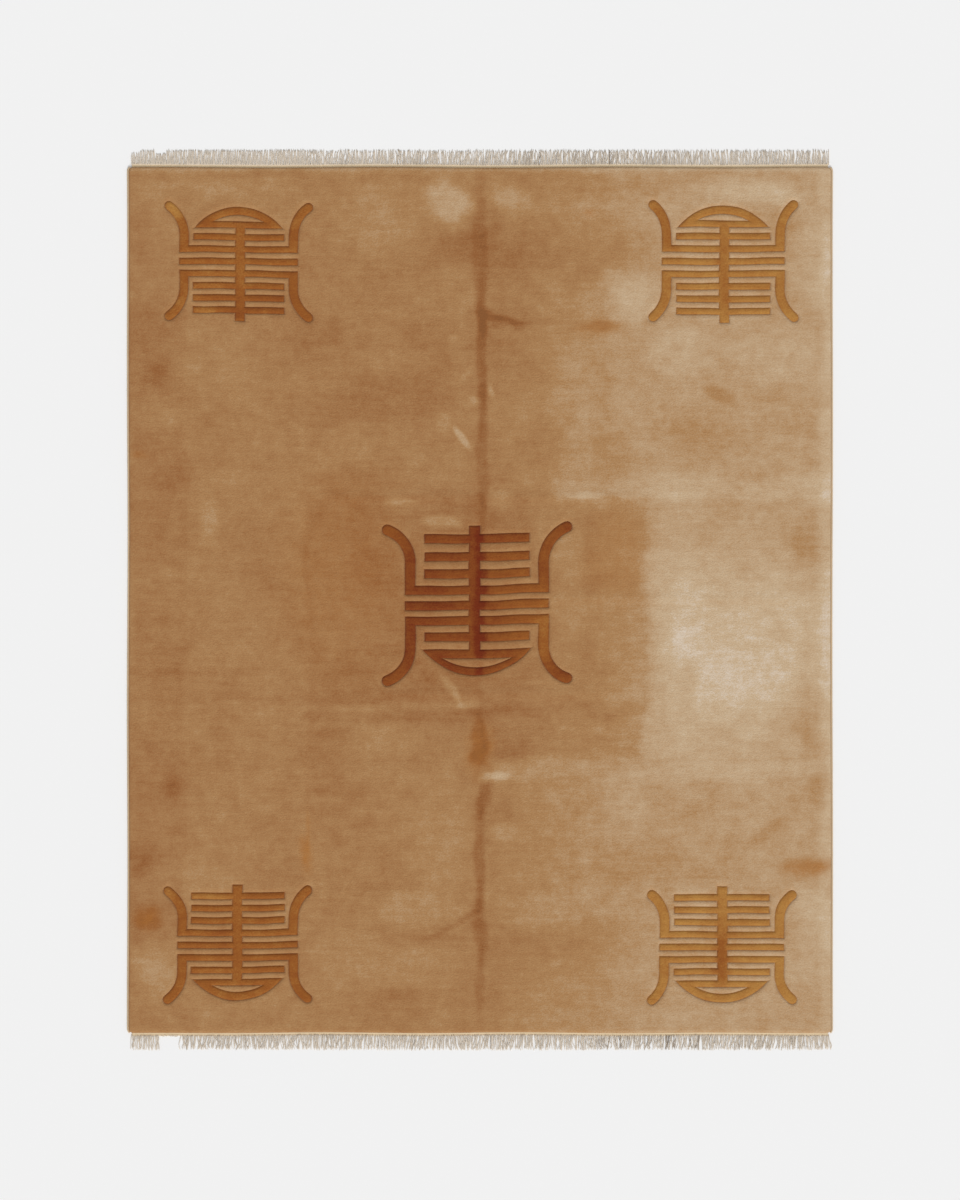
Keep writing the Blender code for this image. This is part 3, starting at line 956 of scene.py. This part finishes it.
def add_side_cord(name, right, finish):
    """The side's overcast edge: pale wool wrapped round a bundle of warps."""
    trim = bpy.context.scene.deco_rug.trim
    path = cord_path(right, trim.wrap_pitch / RINGS_A_WRAP)
    turns = np.arange(CORD_SIDES) * 2 * math.pi / CORD_SIDES
    wraps = np.arange(len(path))[:, None] * 2 * math.pi / RINGS_A_WRAP + turns[None, :]
    worn = noise_field(path[:, 0], path[:, 1], 0.02, 3.3)[:, None]
    radii = CORD_DIAMETER / 2 * (0.90 + 0.08 * np.cos(wraps) + 0.05 * worn)
    vertices, faces = tube(path, radii, CORD_SIDES)
    vertices[:, 2] = np.maximum(vertices[:, 2], 0.0)
    soil = 0.25 + 0.30 * noise_field(vertices[:, 0], vertices[:, 1], 0.06, 7.7)
    piece = add_piece(name, vertices, faces, finish, "pale_wool", soil=soil)
    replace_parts(piece, name.replace("cord_", "side_cord_"))
    return piece


def add_end_band(name, top, finish):
    """The flat-woven end that holds the knots: two twined rows side by side."""
    trim = bpy.context.scene.deco_rug.trim
    depth, height = trim.band_depth, trim.band_height
    section = [(0.0, 0.0)]
    for i in range(BAND_PARTS + 1):
        ridge = abs(math.sin(2 * math.pi * i / BAND_PARTS))
        section.append((depth * i / BAND_PARTS, height * (0.70 + 0.30 * ridge)))
    section += [(depth, 0.0)]
    x = np.arange(-PILE_HALF_WIDTH + BAND_INSET, PILE_HALF_WIDTH - BAND_INSET, BAND_STEP)
    start = end_reach(top, x)
    sign = 1 if top else -1
    ragged = 1 + 0.12 * noise_field(x, start, 0.03, 2.2)
    vertices = [(a, sign * (b + off * r), rise) for a, b, r in zip(x, start, ragged) for off, rise in section]
    count, faces = len(section), []
    for i in range(len(x) - 1):
        for j in range(count):
            a, b = i * count + j, i * count + (j + 1) % count
            face = (a, b, b + count, a + count)
            faces.append(face if top else tuple(reversed(face)))
    first, last = tuple(range(count)), tuple(range((len(x) - 1) * count, len(x) * count))
    faces += [tuple(reversed(first)), last] if top else [first, tuple(reversed(last))]
    vertices = np.array(vertices)
    soil = 0.28 + 0.30 * noise_field(vertices[:, 0], vertices[:, 1], 0.05, 9.1)
    return add_piece(name, vertices, faces, finish, "undyed_cotton", soil=soil)


def add_fringe(name, end, finish):
    """The warps' free ends: hundreds of loose yarns, leaning and tangled, lying on the floor."""
    trim = bpy.context.scene.deco_rug.trim
    dice = random.Random(name)
    sign = 1 if end == "top" else -1
    share = np.linspace(0.0, 1.0, YARN_RINGS)
    vertices, faces, soils, base = [], [], [], 0
    for this_end, start, stop, per_metre, length, tangle, soil in FRINGE_STRETCHES:
        if this_end != end:
            continue
        for i in range(round((stop - start) * per_metre)):
            x = start + (i + dice.random()) / per_metre
            if abs(x) > PILE_HALF_WIDTH - SIDE_CLEARANCE:
                continue
            root = end_reach(sign > 0, np.array([x]))[0] + 0.7 * trim.band_depth
            tip = PILE_HALF_LENGTH + FRINGE_REACH * length
            tip -= (1 - trim.evenness) * (tip - root) * dice.random() * (1 + 2 * tangle)
            lean = 0.012 * tangle * noise.noise((x / 0.07, sign, 0.5)) + dice.gauss(0, 0.006) * tangle
            curl, phase = dice.gauss(0, 0.0035) * (0.4 + tangle), dice.random() * 2 * math.pi
            waves = dice.uniform(3.0, 7.0)
            sway = lean * share + curl * (np.sin(phase + waves * share) - math.sin(phase)) * share
            lie = trim.yarn_radius * (1.05 + dice.random() * (0.8 + 1.0 * tangle))
            low = trim.yarn_radius
            rise = low + (lie - low) * (0.5 + 0.5 * np.sin(phase * 3 + share * 6)) + 0.001 * (1 - share)
            path = np.column_stack([x + sway, sign * (root + (tip - root) * share), rise])
            thickness = trim.yarn_radius * dice.uniform(0.75, 1.15) * (1 - 0.35 * share**3)
            ring, tube_faces = tube(path, np.tile(thickness[:, None], (1, YARN_SIDES)), YARN_SIDES)
            vertices.append(ring)
            faces += [tuple(base + corner for corner in face) for face in tube_faces]
            base += len(ring)
            # A yarn's darkening: some dirt, and painted shade where the fringe shows dark gaps.
            dirt_and_shade = 0.25 + soil * max(0.0, dice.gauss(0.10, 0.30))
            soils.append(np.full(len(ring), dirt_and_shade))
    vertices = np.concatenate(vertices)
    vertices[:, 2] = np.maximum(vertices[:, 2], 0.0)
    return add_piece(name, vertices, faces, finish, "undyed_cotton", soil=np.concatenate(soils))


# Operators


class DECORUG_OT_medallions(bpy.types.Operator):
    """Knots the five medallions"""

    bl_idname = "deco_rug.medallions"
    bl_label = "Knot medallions"

    def execute(self, context):
        finish = medallion_finish()
        for owner, (name, sizes) in enumerate(MEDALLIONS.items()):
            def tones(x, y, tone=sizes["tone"]):
                return tone + patches(MOTIF_NAP_WEAR_AND_SHADE, x, y)

            add_pile_piece(f"medallion_{name}", owner, finish, "russet_wool", tones)
        return {"FINISHED"}


class DECORUG_OT_field(bpy.types.Operator):
    bl_idname = "deco_rug.field"
    bl_label = "Knot field"

    def execute(self, context):
        field = add_pile_piece("pile_field", -1, field_finish(), "camel_wool", field_tone)
        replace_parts(field, "pile_rug")
        return {"FINISHED"}


class DECORUG_OT_side_cords(bpy.types.Operator):
    """Overcasts both sides"""

    bl_idname = "deco_rug.side_cords"
    bl_label = "Overcast sides"

    def execute(self, context):
        trim = context.scene.deco_rug.trim
        finish = yarn_finish("pale_wool", (0.64, 0.47, 0.29), tuple(trim.soiled_cotton), 0.5, (1, 0.6, 1))
        for name, right in (("cord_left", False), ("cord_right", True)):
            add_side_cord(name, right, finish)
        return {"FINISHED"}


class DECORUG_OT_ends(bpy.types.Operator):
    """Weaves both end bands and lays out their fringes"""

    bl_idname = "deco_rug.ends"
    bl_label = "Finish ends"

    def execute(self, context):
        trim = context.scene.deco_rug.trim
        soiled = tuple(trim.soiled_cotton)
        band_finish = yarn_finish("band_cotton", tuple(trim.band_cotton), soiled, 0.5, (1, 1, 1))
        yarn = yarn_finish("undyed_cotton", tuple(trim.cotton), soiled, 0.4, (1, 4, 1))
        for end in ("top", "bottom"):
            add_end_band(f"end_band_{end}", end == "top", band_finish)
            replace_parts(add_fringe(f"yarns_{end}", end, yarn), f"fringe_{end}")
        return {"FINISHED"}


class DECORUG_OT_stage(bpy.types.Operator):
    """Sets the floor, the light and the camera straight above"""

    bl_idname = "deco_rug.stage"
    bl_label = "Set stage"

    def execute(self, context):
        stage = context.scene.deco_rug.stage
        self.add_floor(stage)
        self.add_light(stage)
        self.add_camera(stage)
        context.scene.view_settings.view_transform = "Standard"
        return {"FINISHED"}

    @staticmethod
    def add_floor(stage):
        half, below = FLOOR_HALF, FLOOR_HEIGHT
        mesh = bpy.data.meshes.new("floor")
        corners = [(-half, -half, below), (half, -half, below), (half, half, below), (-half, half, below)]
        mesh.from_pydata(corners, [], [(0, 1, 2, 3)])
        paint = Finish("pale_floor", roughness=0.9, sheen=0.0)
        mesh.materials.append(paint.finish((*stage.floor, 1), paint.lumps(0.004, 0.1), 0.0001))
        floor = bpy.data.objects.new("floor", mesh)
        bpy.context.scene.collection.objects.link(floor)

    @staticmethod
    def add_light(stage):
        light = bpy.data.lights.new("key", "SUN")
        light.energy = stage.key_strength
        light.angle = math.radians(KEY_ANGLE)
        key = bpy.data.objects.new("key", light)
        towards = Vector(TOWARDS_KEY)
        key.rotation_euler = towards.to_track_quat("Z", "Y").to_euler()
        bpy.context.scene.collection.objects.link(key)
        world = bpy.data.worlds.new("studio")
        world.use_nodes = True
        background = world.node_tree.nodes["Background"]
        background.inputs["Color"].default_value = (1, 1, 1, 1)
        background.inputs["Strength"].default_value = stage.fill_strength
        bpy.context.scene.world = world

    @staticmethod
    def add_camera(stage):
        lens = bpy.data.cameras.new("camera")
        lens.lens = lens.sensor_width * stage.camera_distance / stage.view_height
        lens.clip_end = 100
        camera = bpy.data.objects.new("camera", lens)
        camera.location = (0, 0, stage.camera_distance)
        bpy.context.scene.collection.objects.link(camera)
        bpy.context.scene.camera = camera


class DECORUG_PT_rug(bpy.types.Panel):
    """The rug's steps and sizes"""

    bl_label = "Deco Rug"
    bl_idname = "DECORUG_PT_rug"
    bl_space_type = "VIEW_3D"
    bl_region_type = "UI"
    bl_category = "Deco Rug"

    def draw(self, context):
        rug = context.scene.deco_rug
        for group in (rug.pile, rug.medallion, rug.trim, rug.stage):
            box = self.layout.box()
            for name in group.__annotations__:
                box.prop(group, name)
        for step in STEPS:
            self.layout.operator(step)


STEPS = ("deco_rug.medallions", "deco_rug.field", "deco_rug.side_cords", "deco_rug.ends", "deco_rug.stage")
CLASSES = (
    DecoRugPileSettings,
    DecoRugMedallionSettings,
    DecoRugTrimSettings,
    DecoRugStageSettings,
    DecoRugSettings,
    DECORUG_OT_medallions,
    DECORUG_OT_field,
    DECORUG_OT_side_cords,
    DECORUG_OT_ends,
    DECORUG_OT_stage,
    DECORUG_PT_rug,
)


def register():
    for kind in CLASSES:
        bpy.utils.register_class(kind)
    bpy.types.Scene.deco_rug = bpy.props.PointerProperty(type=DecoRugSettings)


def unregister():
    del bpy.types.Scene.deco_rug
    for kind in reversed(CLASSES):
        bpy.utils.unregister_class(kind)


def main():
    register()
    bpy.ops.deco_rug.medallions()
    bpy.ops.deco_rug.field()
    bpy.ops.deco_rug.side_cords()
    bpy.ops.deco_rug.ends()
    bpy.ops.deco_rug.stage()


if __name__ == "__main__":
    main()
